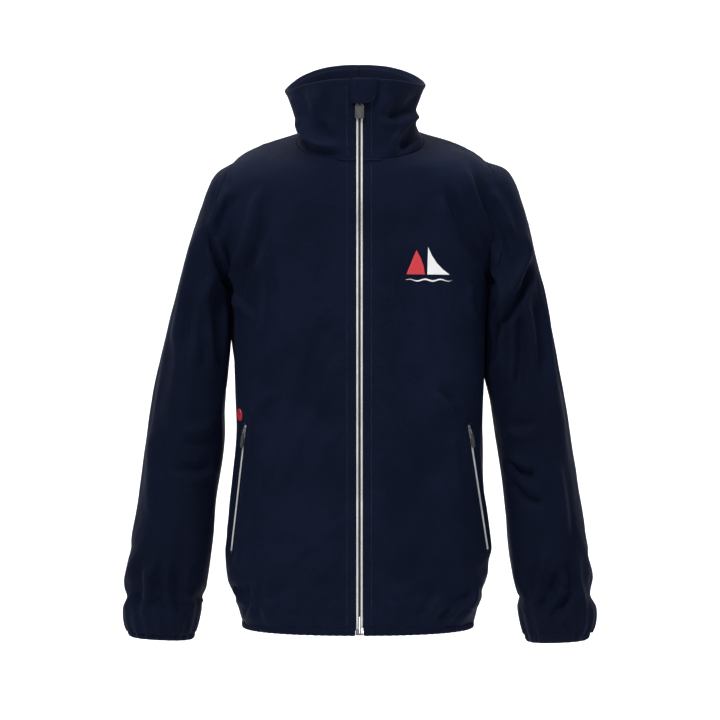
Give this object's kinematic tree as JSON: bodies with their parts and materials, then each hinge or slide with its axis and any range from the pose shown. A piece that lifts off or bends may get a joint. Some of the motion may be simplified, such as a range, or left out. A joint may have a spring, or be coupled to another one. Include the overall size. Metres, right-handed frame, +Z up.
{
  "type": "foul weather jacket",
  "caption": "Zip-front foul weather jacket with a stand collar, long sleeves, elasticated hem and cuffs, zip garage and zipped hand pockets.",
  "frame": {"origin": "underside of the crown of the hanging loop, inside the back of the neck", "axes": "+Z up along the hanging jacket, -Y out of the front, +X to the wearer's left"},
  "size_m": [0.602, 0.2223, 0.742],
  "materials": {
    "shell_fabric": "soft matt woven softshell with a slight sheen",
    "lining": "smooth taffeta",
    "pocket_bag": "smooth",
    "elastic": "gathered knitted binding",
    "silver_tape": "silver grey woven edge",
    "zip_teeth": "moulded coil",
    "zip_hardware": "dark grey, satin",
    "pull_rubber": "ribbed",
    "webbing": "woven tape",
    "label": "plain woven label",
    "badge": "moulded, satin"
  },
  "bodies": {
    "jacket_body": {"back_panel": "shell_fabric", "side_panel_left": "shell_fabric", "side_panel_right": "shell_fabric", "hem_elastic_back": "elastic", "back_lining": "lining", "side_lining_left": "lining", "side_lining_right": "lining", "pocket_bag_left": "pocket_bag", "pocket_bag_right": "pocket_bag", "collar_back": "shell_fabric", "collar_lining_back": "lining", "hanging_loop": "webbing", "neck_label": "label", "round_badge": "badge", "pocket_zip_tape_left": "silver_tape", "pocket_zip_tape_right": "silver_tape", "pocket_zip_teeth_left": "zip_teeth", "pocket_zip_teeth_right": "zip_teeth"},
    "front_right": {"front_panel_right": "shell_fabric", "front_lining_right": "lining", "hem_elastic_right": "elastic", "collar_right": "shell_fabric", "collar_lining_right": "lining", "zip_tape_right": "silver_tape", "zip_teeth_right": "zip_teeth", "zip_top_stop_right": "zip_hardware", "zip_retainer_box": "zip_hardware"},
    "front_left": {"front_panel_left": "shell_fabric", "front_lining_left": "lining", "hem_elastic_left": "elastic", "collar_left": "shell_fabric", "collar_lining_left": "lining", "zip_tape_left": "silver_tape", "zip_teeth_left": "zip_teeth", "zip_top_stop_left": "zip_hardware", "zip_insertion_pin": "zip_hardware"},
    "garage_flap": {"zip_garage": "shell_fabric"},
    "zip_slider": {"main_slider": "zip_hardware"},
    "zip_pull": {"main_pull": "pull_rubber"},
    "sleeve_left": {"sleeve_panel_left": "shell_fabric", "sleeve_lining_left": "lining", "cuff_elastic_left": "elastic"},
    "sleeve_right": {"sleeve_panel_right": "shell_fabric", "sleeve_lining_right": "lining", "cuff_elastic_right": "elastic"},
    "pocket_slider_left": {"pocket_slider_left": "zip_hardware"},
    "pocket_slider_right": {"pocket_slider_right": "zip_hardware"},
    "pocket_pull_left": {"pocket_pull_left": "pull_rubber"},
    "pocket_pull_right": {"pocket_pull_right": "pull_rubber"}
  },
  "joints": [
    {"name": "front_right_open", "type": "hinge", "parent": "jacket_body", "child": "front_right", "pos_m": [-0.11, -0.1445, -0.672], "axis": [-0.0636, 0, -0.998], "range_deg": [0, 60]},
    {"name": "front_left_open", "type": "hinge", "parent": "jacket_body", "child": "front_left", "pos_m": [0.11, -0.1445, -0.672], "axis": [-0.0636, 0, 0.998], "range_deg": [0, 60], "deforming": ["zip_teeth_left", "zip_tape_left"]},
    {"name": "main_zip_slide", "type": "slide", "parent": "front_right", "child": "zip_slider", "axis": [0, -0.0203, -0.9998], "range_m": [0, 0.649]},
    {"name": "main_pull_lift", "type": "hinge", "parent": "zip_slider", "child": "zip_pull", "pos_m": [0, -0.14564, -0.01364], "axis": [-1, 0, 0], "range_deg": [0, 85]},
    {"name": "garage_open", "type": "hinge", "parent": "front_right", "child": "garage_flap", "pos_m": [-0.012, -0.1427, 0.00301], "axis": [0, -0.0203, -0.9998], "range_deg": [0, 90]},
    {"name": "sleeve_left_raise", "type": "hinge", "parent": "jacket_body", "child": "sleeve_left", "pos_m": [0.1642, -0.044, -0.072], "axis": [0, -1, 0], "range_deg": [0, 55]},
    {"name": "sleeve_right_raise", "type": "hinge", "parent": "jacket_body", "child": "sleeve_right", "pos_m": [-0.1642, -0.044, -0.072], "axis": [0, 1, 0], "range_deg": [0, 55]},
    {"name": "pocket_left_slide", "type": "slide", "parent": "jacket_body", "child": "pocket_slider_left", "axis": [0.1563, 0.1789, -0.9714], "range_m": [0, 0.15]},
    {"name": "pocket_left_pull_lift", "type": "hinge", "parent": "pocket_slider_left", "child": "pocket_pull_left", "pos_m": [0.14064, -0.10494, -0.42446], "axis": [-0.4754, -0.8484, -0.2328], "range_deg": [0, 110]},
    {"name": "pocket_right_slide", "type": "slide", "parent": "jacket_body", "child": "pocket_slider_right", "axis": [-0.118, 0.1273, -0.9848], "range_m": [0, 0.148]},
    {"name": "pocket_right_pull_lift", "type": "hinge", "parent": "pocket_slider_right", "child": "pocket_pull_right", "pos_m": [-0.14652, -0.09704, -0.42452], "axis": [-0.431, 0.8869, 0.1663], "range_deg": [0, 110]}
  ],
  "couplings": [
    {"joint": "front_left_open", "follows": "front_right_open", "ratio": 1},
    {"joint": "main_zip_slide", "follows": "front_right_open", "m_per_rad": 0.6195}
  ]
}
